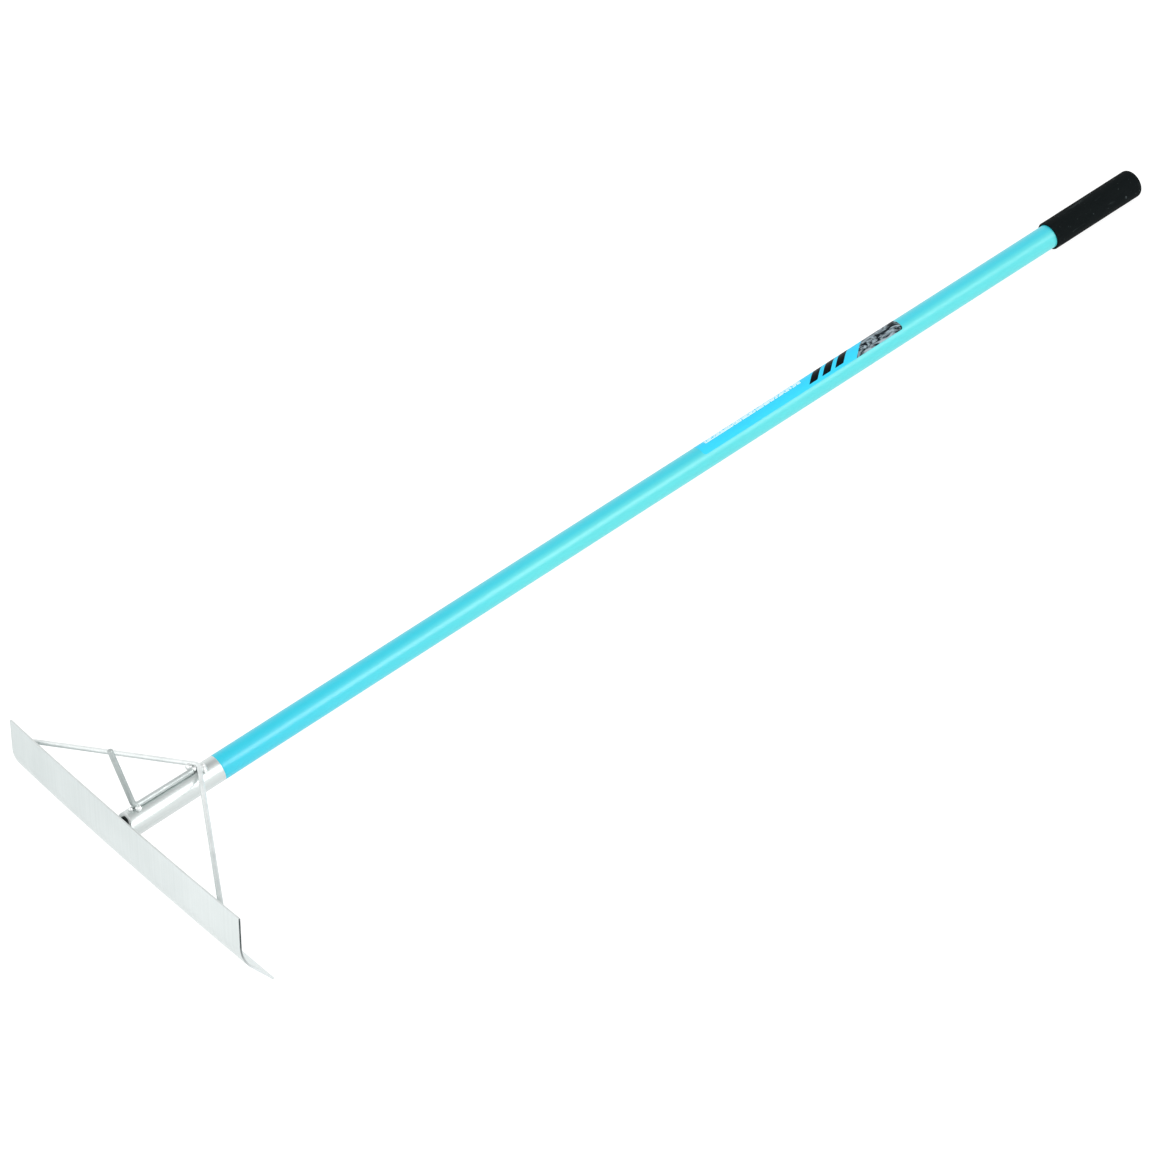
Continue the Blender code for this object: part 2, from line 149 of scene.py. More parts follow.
def tool_frame():
    """The tool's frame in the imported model: its Y axis is the handle's, which ends in the grip."""
    mount = next(m for m in frame["record"]["mounts"] if m["name"] == "grip_end")
    along = Vector(mount["axis"]).normalized()
    up = Vector((1, 0, 0)).cross(along)
    turn = Matrix(((1, 0, 0), (0, along.y, up.y), (0, along.z, up.z))).to_4x4()
    return Matrix.Translation(Vector(mount["pos_m"]) - along * GRIP_END_Y) @ turn


TOOL = tool_frame()
TO_TOOL = TOOL.inverted()


# ---------------------------------------------------------------- material nodes
def srgb(red, green, blue):
    """A colour given as 0 to 255 screen values, in linear light."""
    def linear(value):
        value /= 255
        return value / 12.92 if value <= 0.04045 else ((value + 0.055) / 1.055) ** 2.4
    return (linear(red), linear(green), linear(blue), 1.0)


class Finish:
    """One procedural material: a Principled shader and the nodes that feed it."""

    def __init__(self, name, colour, roughness, metallic=0.0, **uniform):
        self.material = bpy.data.materials.new(name)
        self.material.use_nodes = True
        self.tree = self.material.node_tree
        self.shader = self.tree.nodes["Principled BSDF"]
        self.shader.inputs["Base Color"].default_value = colour
        self.shader.inputs["Roughness"].default_value = roughness
        self.shader.inputs["Metallic"].default_value = metallic
        for socket, value in uniform.items():
            self.shader.inputs[socket.replace("_", " ")].default_value = value
        self.place = self.node("ShaderNodeMapping", {
            "Vector": self.node("ShaderNodeTexCoord").outputs["Object"],
            "Location": TO_TOOL.to_translation(), "Rotation": TO_TOOL.to_euler()}).outputs[0]
        self.bumps = None

    def node(self, kind, inputs=(), **settings):
        made = self.tree.nodes.new(kind)
        for key, value in settings.items():
            setattr(made, key, value)
        for socket, value in dict(inputs).items():
            self.put(made.inputs[socket], value)
        return made

    def put(self, socket, value):
        if isinstance(value, bpy.types.NodeSocket):
            self.tree.links.new(value, socket)
        else:
            socket.default_value = value

    def math(self, operation, a, b=0.0, clamp=False):
        made = self.node("ShaderNodeMath", {0: a, 1: b}, operation=operation, use_clamp=clamp)
        return made.outputs[0]

    def product(self, first, *others):
        for other in others:
            first = self.math("MULTIPLY", first, other)
        return first

    def split(self):
        """The place in the object as three separate numbers."""
        return self.node("ShaderNodeSeparateXYZ", {0: self.place}).outputs

    def stretched(self, scale, turn=(0, 0, 0)):
        """The place in the object, scaled unevenly so that a pattern draws out into lines."""
        made = self.node("ShaderNodeMapping", {"Vector": self.place, "Scale": scale,
                                               "Rotation": turn})
        return made.outputs[0]

    def noise(self, scale, vector=None, detail=3.0, roughness=0.55, distortion=0.0):
        made = self.node("ShaderNodeTexNoise", {
            "Vector": vector or self.place, "Scale": scale, "Detail": detail,
            "Roughness": roughness, "Distortion": distortion})
        return made.outputs[0]

    def remap(self, value, low, high, to_low, to_high):
        made = self.node("ShaderNodeMapRange", {0: value, 1: low, 2: high, 3: to_low, 4: to_high})
        return made.outputs[0]

    def mix(self, factor, a, b):
        made = self.node("ShaderNodeMix", {0: factor, 6: a, 7: b}, data_type="RGBA")
        return made.outputs[2]

    def bump(self, height, strength, distance):
        inputs = {"Height": height, "Strength": strength, "Distance": distance}
        if self.bumps:
            inputs["Normal"] = self.bumps
        self.bumps = self.node("ShaderNodeBump", inputs).outputs[0]

    def finish(self, colour=None, roughness=None):
        if colour is not None:
            self.put(self.shader.inputs["Base Color"], colour)
        if roughness is not None:
            self.put(self.shader.inputs["Roughness"], roughness)
        if self.bumps:
            self.put(self.shader.inputs["Normal"], self.bumps)
        return self.material


def metal(name, light, dark, roughness, grain, grain_depth, blotch=9.0, contrast=0.30,
          painted_shade_ramps=()):
    """Bare aluminium: grain drawn out in one direction, faint blotches and a few scratches.

    Each painted shade ramp of (axis, start, end, amount) paints it darker at the start and lighter
    at the end: painted shade and light, not a change of the metal.
    """
    finish = Finish(name, light, roughness, metallic=1.0)
    fine = finish.noise(1.0, finish.stretched(grain), detail=4.0, roughness=0.7)
    broad = finish.noise(1.0, finish.stretched([g * 0.13 for g in grain]), detail=3.0)
    cloud = finish.noise(blotch, detail=3.0)
    scratch_place = finish.stretched([g * 0.05 + 6 for g in grain], turn=(0.3, 0.5, 0.7))
    scratch = finish.noise(9.0, scratch_place, detail=2.0, distortion=1.2)
    scratch = finish.remap(scratch, 0.66, 0.72, 0.0, 1.0)
    streak = finish.math("ADD", finish.product(fine, 0.45), finish.product(broad, 0.55))
    middle = 0.45
    shade = finish.math(
        "ADD", finish.remap(streak, 0.35, 0.65, middle - contrast, middle + contrast),
        finish.remap(cloud, 0.35, 0.65, -0.12, 0.16))
    # painted shade: each ramp darkens the colour towards its start and lightens it towards its end
    for axis, start, end, amount in painted_shade_ramps:
        painted_ramp = finish.remap(finish.split()[axis], start, end, -amount, amount)
        shade = finish.math("ADD", shade, painted_ramp)
    shade = finish.math("ADD", shade, 0.0, clamp=True)
    spread = 0.06
    rough = finish.math(
        "ADD", finish.remap(streak, 0.3, 0.7, roughness + spread, roughness - spread),
        finish.product(scratch, 0.08))
    finish.bump(fine, 0.35, grain_depth)
    finish.bump(cloud, 0.12, grain_depth * 4)
    return finish.finish(finish.mix(shade, dark, light), rough)


def blade_metal():
    """Brushed sheet: the lines run up the blade, across its length."""
    # painted shade: the blade is painted darker at its -X end and lighter at its +X end
    return metal("blade_brushed", (0.725, 0.77, 0.765, 1), (0.555, 0.605, 0.60, 1), 0.42,
                 (1900, 9, 9), 0.00002, contrast=0.13,
                 painted_shade_ramps=[(0, -BLADE_LENGTH / 2, BLADE_LENGTH / 2, 0.22)])


def sheared_edge():
    """The sheet's cut ends: torn and dark along the flat face, lighter down the bend and lip."""
    finish = Finish("blade_cut_edge", (0.3, 0.32, 0.325, 1), 0.55, metallic=1.0)
    height = finish.split()[2]
    torn = finish.noise(1.0, finish.stretched((900, 160, 160)), detail=4.0, roughness=0.7)
    lines = finish.noise(1.0, finish.stretched((200, 1800, 60)), detail=3.0)
    toward_lip = finish.remap(height, -0.014, -0.053, 0.0, 1.0)
    base = finish.mix(toward_lip, (0.040, 0.055, 0.056, 1), (0.70, 0.74, 0.745, 1))
    shade = finish.remap(torn, 0.35, 0.65, 0.0, 0.16)
    finish.bump(torn, 0.4, 0.00008)
    finish.bump(lines, 0.25, 0.00005)
    return finish.finish(finish.mix(shade, base, (0.60, 0.63, 0.635, 1)),
                         finish.remap(torn, 0.3, 0.7, 0.58, 0.42))


def top_edge():
    return metal("blade_top_edge", (0.71, 0.74, 0.735, 1), (0.60, 0.63, 0.625, 1), 0.5,
                 (600, 120, 120), 0.00005)


def tube_metal():
    return metal("tube_drawn", (0.650, 0.692, 0.684, 1), (0.570, 0.612, 0.603, 1), 0.35,
                 (900, 10, 900), 0.00002)


def tube_cut():
    """The sawn face at the socket tube's mouth."""
    return metal("tube_sawn", (0.97, 0.98, 0.975, 1), (0.88, 0.90, 0.895, 1), 0.70,
                 (160, 900, 900), 0.00004, blotch=200)


def rod_metal():
    # painted shade: the brace is painted darker towards its +X foot, by the blade's back
    return metal("rod_drawn", (0.82, 0.85, 0.845, 1), (0.57, 0.615, 0.61, 1), 0.60,
                 (700, 60, 700), 0.00002, blotch=60, contrast=0.12,
                 painted_shade_ramps=[(0, 0.205, 0.06, 0.38)])


def hook_metal():
    """The hook is painted darker than the brace: painted shade on its rising leg, and painted light
    where it lies on the tube and at its tip.
    """
    return metal("hook_drawn", (0.665, 0.710, 0.703, 1), (0.415, 0.457, 0.451, 1), 0.56,
                 (700, 300, 120), 0.00002, blotch=60, contrast=0.14,
                 painted_shade_ramps=[(2, 0.042, 0.020, 0.30), (2, 0.080, 0.100, 0.22)])


def weld_metal():
    """Weld beads: bright and pitted, with a frosted heat haze."""
    finish = Finish("weld_bead", (0.90, 0.91, 0.91, 1), 0.33, metallic=1.0)
    pits = finish.noise(1400, detail=3.0)
    cloud = finish.noise(260, detail=2.0)
    finish.bump(pits, 0.5, 0.00008)
    finish.bump(cloud, 0.4, 0.0003)
    shade = finish.remap(cloud, 0.35, 0.65, 0.0, 1.0)
    return finish.finish(finish.mix(shade, (0.62, 0.65, 0.645, 1), (0.90, 0.915, 0.91, 1)),
                         finish.remap(pits, 0.3, 0.7, 0.26, 0.44))


def handle_paint():
    """Light blue coating: orange peel, faint lengthwise marks, paler towards the grip.

    Along its +X side it is painted palest: a painted sheen where the light falls on it.
    """
    finish = Finish("handle_coating", (0.022, 0.53, 0.60, 1), 0.34, IOR=1.64)
    peel = finish.noise(420, detail=2.0)
    cloud = finish.noise(7, finish.stretched((1, 0.35, 1)), detail=3.0)
    lines = finish.noise(1.0, finish.stretched((500, 5, 500)), detail=3.0)
    finish.bump(peel, 0.22, 0.00008)
    finish.bump(lines, 0.15, 0.00003)
    shade = finish.remap(cloud, 0.35, 0.65, 0.0, 1.0)
    across, along, _ = finish.split()
    toward_grip = finish.remap(along, 0.15, 0.60, 0.0, 1.0)
    # painted sheen: the +X side is painted paler, standing in for the light it catches
    painted_sheen_side = finish.remap(across, 0.40 * TUBE_RADIUS, 0.72 * TUBE_RADIUS, 0.0, 1.0)
    head_side_tone = finish.mix(shade, (0.004, 0.485, 0.63, 1), (0.009, 0.515, 0.66, 1))
    grip_side_tone = finish.mix(shade, (0.020, 0.495, 0.60, 1), (0.028, 0.525, 0.625, 1))
    pale = finish.mix(shade, (0.058, 0.555, 0.585, 1), (0.070, 0.585, 0.605, 1))
    return finish.finish(finish.mix(toward_grip, head_side_tone, finish.mix(painted_sheen_side, grip_side_tone, pale)),
                         finish.remap(peel, 0.3, 0.7, 0.30, 0.38))


def grip_rubber():
    """Black rubber: matte, finely pebbled, with pale dust specks and rubbed streaks."""
    finish = Finish("grip_rubber", srgb(14, 19, 20), 0.72, IOR=1.12)
    pebble = finish.noise(1600, detail=2.0)
    dents = finish.noise(120, finish.stretched((1, 0.4, 1)), detail=3.0)
    specks = finish.remap(finish.noise(190, detail=2.0), 0.685, 0.75, 0.0, 1.0)
    rubbed = finish.remap(finish.noise(1.0, finish.stretched((190, 28, 190)), detail=4.0),
                          0.62, 0.78, 0.0, 0.5)
    finish.bump(pebble, 0.35, 0.00012)
    finish.bump(dents, 0.25, 0.0005)
    dust = finish.math("ADD", finish.product(specks, 0.8), rubbed, clamp=True)
    return finish.finish(finish.mix(dust, srgb(13, 18, 19), srgb(64, 72, 73)),
                         finish.remap(dents, 0.3, 0.7, 0.64, 0.8))


def label_film():
    """A printed film with generic marks: rows of dashes, slanted bars and a mottled panel."""
    finish = Finish("label_print", srgb(58, 212, 250), 0.4, IOR=1.17)
    across, along, height = finish.split()
    around = finish.product(finish.math("ARCTAN2", height, across), TUBE_RADIUS)

    def between(value, low, high, soft=0.00012):
        rising = finish.remap(value, low - soft, low + soft, 0.0, 1.0)
        falling = finish.remap(value, high - soft, high + soft, 1.0, 0.0)
        return finish.product(rising, falling)

    def arc(degrees):
        return math.radians(degrees) * TUBE_RADIUS

    def within(degrees):
        low, high = degrees
        return between(around, arc(low), arc(high))

    # rows of dashes of uneven length
    row = finish.math("DIVIDE", around, ROW_PITCH)
    dash = finish.math("DIVIDE", along, DASH_PITCH)
    cell = finish.node("ShaderNodeCombineXYZ", {0: finish.math("FLOOR", row),
                                                1: finish.math("FLOOR", dash)})
    chance = finish.node("ShaderNodeTexWhiteNoise", {0: cell.outputs[0]}).outputs[0]
    inked = finish.math("GREATER_THAN", chance, 0.18)
    in_row = between(finish.math("FRACT", row), 0.14, 0.84, 0.05)
    in_dash = between(finish.math("FRACT", dash), 0.06, 0.86, 0.05)
    dashes = finish.product(inked, in_row, in_dash, between(along, *DASHES),
                            within(DASHES_ROUND))

    # three broad slanted bars
    lean = finish.product(finish.math("SUBTRACT", around, arc(BARS_ROUND[0])), SLANT)
    slant = finish.math("SUBTRACT", along, lean)
    stripe = finish.math("DIVIDE", finish.math("SUBTRACT", slant, BARS[0]), BAR_PITCH)
    bars = finish.product(between(finish.math("FRACT", stripe), 0.02, 0.66, 0.01),
                          between(slant, *BARS), within(BARS_ROUND))

    # a dark panel with pale torn veins, slanted at its start, up to the film's end
    panel = finish.product(between(slant, *PANEL), within(PANEL_ROUND))
    veins = finish.noise(100, finish.stretched((1, 0.4, 1), (0, 0, 0.5)), detail=5.0,
                         roughness=0.66, distortion=2.0)
    veins = finish.remap(veins, 0.47, 0.62, 0.0, 1.0)
    panel_colour = finish.mix(veins, srgb(4, 16, 24), srgb(150, 166, 174))

    ground = finish.mix(finish.noise(9, detail=2.0), (0.034, 0.54, 0.80, 1),
                        (0.040, 0.57, 0.83, 1))
    colour = finish.mix(dashes, ground, srgb(246, 250, 251))
    colour = finish.mix(bars, colour, srgb(3, 12, 14))
    colour = finish.mix(panel, colour, panel_colour)
    ripple = finish.noise(160, finish.stretched((1, 0.5, 1)), detail=2.0)
    finish.bump(ripple, 0.12, 0.0002)
    return finish.finish(colour, finish.remap(ripple, 0.3, 0.7, 0.34, 0.46))


# ---------------------------------------------------------------- mesh building
def add_piece(name, rows, materials, node, wrap_rows=False, pick=None, sharp=42):
    """A closed skin over rows of points; each row is a closed loop, and rows may join up too."""
    count, across = len(rows), len(rows[0])
    verts = [tuple(point) for row in rows for point in row]
    faces, uvs = [], []
    for i in range(count if wrap_rows else count - 1):
        for k in range(across):
            near, far = i * across, ((i + 1) % count) * across
            after = (k + 1) % across
            faces.append((near + k, near + after, far + after, far + k))
            uvs += [(i / count, k / across), (i / count, (k + 1) / across),
                    ((i + 1) / count, (k + 1) / across), ((i + 1) / count, k / across)]
    if not wrap_rows:
        for start in (0, (count - 1) * across):
            faces.append(tuple(start + k for k in range(across)))
            uvs += [(0.5, k / across) for k in range(across)]
    mesh = bpy.data.meshes.new(name)
    mesh.from_pydata(verts, [], faces)
    layer = mesh.uv_layers.new(name="UVMap")
    for loop, uv in zip(layer.data, uvs):
        loop.uv = uv
    mesh.validate()
    point_outwards(mesh)
    for material in materials:
        mesh.materials.append(material)
    if pick:
        for face in mesh.polygons:
            face.material_index = pick(face)
    mesh.shade_smooth()
    mesh.set_sharp_from_angle(angle=math.radians(sharp))
    mesh.transform(TOOL)
    piece = bpy.data.objects.new(name, mesh)
    bpy.context.scene.collection.objects.link(piece)
    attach(piece, "root")
    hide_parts(node)


def point_outwards(mesh):
    """Turns the faces round if the closed skin's volume comes out negative."""
    volume = 0.0
    for face in mesh.polygons:
        first, *others = [mesh.vertices[i].co for i in face.vertices]
        for second, third in zip(others, others[1:]):
            volume += first.dot(second.cross(third))
    if volume < 0:
        mesh.flip_normals()


def arc_points(centre, radius, start, end, steps):
    """Points on an arc, both of its ends included."""
    angles = [start + (end - start) * i / steps for i in range(steps + 1)]
    return [Vector((centre[0] + radius * math.cos(a), centre[1] + radius * math.sin(a)))
            for a in angles]


def rounded_loop(corners, radius, steps=3, spacing=0.01):
    """A closed 2D outline with rounded corners, its long sides split into short ones."""
    loop = []
    for before, corner, after in zip(corners[-1:] + corners, corners, corners[1:] + corners[:1]):
        corner = Vector(corner)
        into = (Vector(before) - corner).normalized() * radius
        out = (Vector(after) - corner).normalized() * radius
        for i in range(steps + 1):
            t = i / steps
            loop.append(corner + into * (1 - t) ** 2 + out * t ** 2)
    full = []
    for a, b in zip(loop, loop[1:] + loop[:1]):
        parts = max(1, round((b - a).length / spacing))
        full += [a.lerp(b, i / parts) for i in range(parts)]
    return full


def turned(outline, sides):
    """Rows of points round the Y axis for an outline of (radius, y)."""
    rows = []
    for radius, y in outline:
        rows.append([Vector((radius * math.cos(2 * math.pi * k / sides), y,
                             radius * math.sin(2 * math.pi * k / sides))) for k in range(sides)])
    return rows


def bent_path(points, radius, steps=16, spacing=0.004):
    """A centre line through points, its corners bent to a radius, split into short steps."""
    path = [points[0]]
    for before, corner, after in zip(points, points[1:], points[2:]):
        into, out = (before - corner).normalized(), (after - corner).normalized()
        half = into.angle(out) / 2
        centre = corner + (into + out).normalized() * (radius / math.sin(half))
        start = corner + into * (radius / math.tan(half)) - centre
        end = corner + out * (radius / math.tan(half)) - centre
        turn = start.angle(end)
        for i in range(steps + 1):
            t = i / steps
            spoke = start * math.sin((1 - t) * turn) + end * math.sin(t * turn)
            path.append(centre + spoke / math.sin(turn))
    path.append(points[-1])
    full = []
    for a, b in zip(path, path[1:]):
        parts = max(1, round((b - a).length / spacing))
        full += [a.lerp(b, i / parts) for i in range(parts)]
    return full + [path[-1]]


def bar_rows(path, radius, sides, start_normal=None, end_normal=None, edge=0.0004):
    """Rows of a round bar along a path, with a small rounding at both ends.

    An end may lie on a plane of a given normal instead of square to the bar.
    """
    tangents = [(b - a).normalized() for a, b in zip(path, path[1:])]
    tangents = tangents[:1] + tangents
    side = tangents[0].orthogonal().normalized()
    rows = []
    last = len(path) - 1
    shares = (1.0, 0.45, 0.12)

    def ring(point, mean, ring_radius, normal=None):
        up = mean.cross(side)
        row = []
        for k in range(sides):
            angle = 2 * math.pi * k / sides
            spoke = (side * math.cos(angle) + up * math.sin(angle)) * ring_radius
            if normal:
                spoke = spoke - mean * (spoke.dot(normal) / mean.dot(normal))
            row.append(point + spoke)
        return row

    for index, point in enumerate(path):
        mean = (tangents[index] + tangents[min(index + 1, last)]).normalized()
        side = (side - mean * side.dot(mean)).normalized()
        if index == 0:
            rows += [ring(point + mean * edge * (1 - share), mean, radius - edge * share,
                          start_normal) for share in shares]
        elif index == last:
            rows += [ring(point - mean * edge * (1 - share), mean, radius - edge * share,
                          end_normal) for share in reversed(shares)]
        else:
            rows.append(ring(point, mean, radius))
    return rows


# ---------------------------------------------------------------- the blade
FACE_DOWN = Vector((-math.sin(FACE_LEAN), -math.cos(FACE_LEAN)))
FACE_IN = Vector((math.cos(FACE_LEAN), -math.sin(FACE_LEAN)))
BLADE_TOP = Vector((BLADE_TOP_Z * math.tan(FACE_LEAN), BLADE_TOP_Z))
BEND_LENGTH = BEND_RADIUS * BEND_ANGLE
SECTION_LENGTH = FACE_HEIGHT + BEND_LENGTH + LIP_HEIGHT


def section_point(down, depth):
    """(y, z) at a distance down the blade's front and a depth behind it."""
    if down <= FACE_HEIGHT:
        return BLADE_TOP + FACE_DOWN * down + FACE_IN * depth
    centre = BLADE_TOP + FACE_DOWN * FACE_HEIGHT + FACE_IN * BEND_RADIUS
    turn = min(down - FACE_HEIGHT, BEND_LENGTH) / BEND_RADIUS
    angle = math.pi - FACE_LEAN + turn
    spoke = Vector((math.cos(angle), math.sin(angle)))
    point = centre + spoke * (BEND_RADIUS - depth)
    if down > FACE_HEIGHT + BEND_LENGTH:
        lean = BEND_ANGLE - FACE_LEAN
        point += Vector((math.sin(lean), -math.cos(lean))) * (down - FACE_HEIGHT - BEND_LENGTH)
    return point


def bow(x):
    return BLADE_BOW * (2 * x / BLADE_LENGTH) ** 2


def build_blade():
    edge = SHEET_EDGE
    rows = []

    def section(x, inset):
        corners = [(inset, inset), (SECTION_LENGTH - inset, inset),
                   (SECTION_LENGTH - inset, SHEET - inset), (inset, SHEET - inset)]
        loop = rounded_loop(corners, max(edge - inset, 0.0001), spacing=0.0018)
        return [Vector((x, y + bow(x), z)) for y, z in (section_point(*p) for p in loop)]

    half = BLADE_LENGTH / 2
    ends = [(0.0, edge), (0.3 * edge, 0.45 * edge), (edge, 0.0)]
    for step, inset in ends:
        rows.append(section(-half + step, inset))
    for i in range(1, BLADE_PANELS):
        rows.append(section(-half + BLADE_LENGTH * i / BLADE_PANELS, 0.0))
    for step, inset in reversed(ends):
        rows.append(section(half - step, inset))

    def which(face):
        """The cut ends, the top edge or the sheet's two sides."""
        if abs(face.normal.x) > 0.8:
            return 1
        across = Vector((0.0, FACE_DOWN.x, FACE_DOWN.y))
        top = face.normal.dot(across) < -0.8 and face.center.z > BLADE_TOP_Z - 0.002
        return 2 if top else 0

    add_piece("blade_sheet", rows, [blade_metal(), sheared_edge(), top_edge()],
              "blade", pick=which, sharp=50)


# ---------------------------------------------------------------- tubes and grip
def tube_corners(start, end, wall):
    inner = TUBE_RADIUS - wall
    return [(inner, start), (TUBE_RADIUS, start), (TUBE_RADIUS, end), (inner, end)]


def build_socket_tube():
    joint_gap = 0.00005
    corners = tube_corners(0.0, SOCKET_END_Y - joint_gap, SOCKET_WALL)
    rows = turned(rounded_loop(corners, SAWN_EDGE), TUBE_SIDES)
    for row in rows:
        for point in row:
            share = 1 - point.y / SOCKET_END_Y
            point.y += (MOUTH_Y + MOUTH_SLOPE * point.z) * share
    add_piece("socket_tube_drawn", rows, [tube_metal(), tube_cut()],
              "socket_tube", wrap_rows=True, pick=lambda face: abs(face.normal.y) > 0.6)


def build_handle_tube():
    corners = tube_corners(SOCKET_END_Y, HANDLE_END_Y, HANDLE_WALL)
    rows = turned(rounded_loop(corners, COATED_EDGE, spacing=0.02), TUBE_SIDES)
    add_piece("handle_tube_coated", rows, [handle_paint()], "handle_tube",
              wrap_rows=True)


def build_grip():
    bore = TUBE_RADIUS + CLEARANCE
    floor_y = HANDLE_END_Y + 0.0002
    body_end = GRIP_END_Y - GRIP_ROUND
    body_start = GRIP_START_Y + GRIP_LIP
    flat = GRIP_RADIUS - GRIP_ROUND
    outline = [(POLE, floor_y), (bore, floor_y)]
    outline += [(bore, HANDLE_END_Y + (GRIP_START_Y - HANDLE_END_Y) * i / 20)
                for i in range(1, 21)]
    outline += [tuple(p) for p in arc_points((GRIP_RADIUS - GRIP_LIP, body_start), GRIP_LIP,
                                             -math.pi / 2, 0.0, 6)]
    outline += [(GRIP_RADIUS, body_start + (body_end - GRIP_START_Y - GRIP_LIP) * i / 60)
                for i in range(1, 60)]
    outline += [tuple(p) for p in arc_points((flat, body_end), GRIP_ROUND,
                                             0.0, math.pi / 2, 14)]
    outline += [(flat + (POLE - flat) * i / 4, GRIP_END_Y) for i in range(1, 5)]
    rows = turned(outline, TUBE_SIDES)

    # shallow waves over the outside, which die out at both ends
    wave_depth, fade_length = 0.00022, 0.01
    for row in rows:
        for point in row:
            reach = math.hypot(point.x, point.z)
            if reach > TUBE_RADIUS + 0.001 and point.y < body_end:
                wave = noise.noise(Vector((point.x * 45, point.y * 30, point.z * 45)))
                fade = min(1.0, (point.y - GRIP_START_Y) / fade_length,
                           (body_end - point.y) / fade_length)
                shrink = 1 - wave_depth * abs(wave) * max(fade, 0.0) / reach
                point.x *= shrink
                point.z *= shrink
    add_piece("grip_sleeve", rows, [grip_rubber()], "grip")


# ---------------------------------------------------------------- rods
def back_normal(x):
    """The direction out of the blade's back at a distance from its middle."""
    slope = 8 * BLADE_BOW * x / BLADE_LENGTH ** 2
    return Vector((-slope, 1.0, -math.tan(FACE_LEAN))).normalized()


def back_y(x, z):
    """Where the blade's flat back stands, with the clearance."""
    return bow(x) + z * math.tan(FACE_LEAN) + (SHEET + CLEARANCE) / math.cos(FACE_LEAN)


def brace_path():
    """The V's centre line, lifted so that its bend lies on top of the tube."""
    crown = TUBE_RADIUS + BRACE_RADIUS + CLEARANCE
    foot_y = back_y(BRACE_FOOT_X, BRACE_FOOT_Z)
    corners = [Vector((-BRACE_FOOT_X, foot_y, BRACE_FOOT_Z)), Vector((0, BRACE_APEX_Y, crown)),
               Vector((BRACE_FOOT_X, foot_y, BRACE_FOOT_Z))]
    path = bent_path(corners, BRACE_BEND)
    lift = crown - max(point.z for point in path)
    count = len(path) - 1
    return [point + Vector((0, 0, lift * min(1.0, 8 * min(i, count - i) / count)))
            for i, point in enumerate(path)]


def build_brace_rod():
    rows = bar_rows(brace_path(), BRACE_RADIUS, BRACE_SIDES, back_normal(-BRACE_FOOT_X),
                    back_normal(BRACE_FOOT_X), edge=0.0002)
    add_piece("brace_rod_bent", rows, [rod_metal()], "brace_rod")


def hook_lift(offset):
    """Height of the lying leg's centre line: the rod rests on the round of the tube."""
    reach = TUBE_RADIUS + HOOK_RADIUS + CLEARANCE
    return math.sqrt(reach ** 2 - offset ** 2)


def build_hook_rod():
    corners = [Vector((HOOK_REAR_OFFSET, HOOK_REAR_Y, hook_lift(HOOK_REAR_OFFSET))),
               Vector((HOOK_OFFSET, HOOK_FOOT_Y, hook_lift(HOOK_OFFSET))),
               Vector((HOOK_OFFSET, HOOK_TIP_Y, HOOK_TIP_Z))]
    rows = bar_rows(bent_path(corners, HOOK_BEND), HOOK_RADIUS, HOOK_SIDES, edge=0.0007)
    add_piece("hook_rod_bent", rows, [hook_metal()], "hook_rod")


# ---------------------------------------------------------------- welds and rivets
def build_bead(node, path, radii, outward, pitch=0.0014):
    """A run of weld metal with crescent ripples, sunk into the corner that it fills."""
    ripple_depth, lump_depth, flatness = 0.075, 0.07, 0.86
    fine = []
    for i, (a, b) in enumerate(zip(path, path[1:])):
        parts = max(1, round((b - a).length / (pitch / 5)))
        for j in range(parts):
            t = j / parts
            fine.append((a.lerp(b, t), radii[i] + (radii[i + 1] - radii[i]) * t,
                         outward[i].lerp(outward[i + 1], t)))
    fine.append((path[-1], radii[-1], outward[-1]))
    travelled = [0.0]
    for (a, _, _), (b, _, _) in zip(fine, fine[1:]):
        travelled.append(travelled[-1] + (b - a).length)
    total = travelled[-1]
    rows = []
    for i, (point, radius, out) in enumerate(fine):
        ahead = fine[min(i + 1, len(fine) - 1)][0] - fine[max(i - 1, 0)][0]
        ahead.normalize()
        out = (out - ahead * out.dot(ahead)).normalized()
        side = ahead.cross(out)
        from_end = min(travelled[i], total - travelled[i])
        reach = min(1.0, from_end / (radius * 1.1))
        swell = max(0.10, math.sqrt(max(0.0, 1 - (1 - reach) ** 2)))
        row = []
        for k in range(BEAD_SIDES):
            angle = 2 * math.pi * k / BEAD_SIDES
            crown = math.cos(angle)
            phase = travelled[i] / pitch + 0.55 * crown
            ripple = abs(math.sin(math.pi * phase)) ** 0.7 - 0.6
            place = point * 900 + Vector((crown, math.sin(angle), 0.0))
            lump = noise.noise(place) * lump_depth
            size = radius * swell * (1 + ripple_depth * ripple * max(0.0, crown + 0.4) + lump)
            row.append(point + (out * crown * flatness + side * math.sin(angle)) * size)
        rows.append(row)
    add_piece(node + "_bead", rows, [WELD], node, sharp=75)


def straight_bead(node, start, end, radius, outward):
    start, end, outward = Vector(start), Vector(end), Vector(outward).normalized()
    path = [start.lerp(end, i / 4) for i in range(5)]
    build_bead(node, path, [radius] * 5, [outward] * 5)


def socket_bead(node, start, end, steps=24):
    """A bead round the mouth, thicker where the slant cut stands off the blade."""
    proud = 0.0006
    path, radii, outward = [], [], []
    for i in range(steps + 1):
        angle = start + (end - start) * i / steps
        x = (TUBE_RADIUS + proud) * math.cos(angle)
        z = (TUBE_RADIUS + proud) * math.sin(angle)
        mouth, back = MOUTH_Y + MOUTH_SLOPE * z, back_y(x, z)
        path.append(Vector((x, (mouth + back) / 2 + proud, z)))
        radii.append(min(0.0019 + 0.45 * (mouth - back), 0.0038))
        outward.append(Vector((math.cos(angle), 0.6, math.sin(angle))).normalized())
    build_bead(node, path, radii, outward)


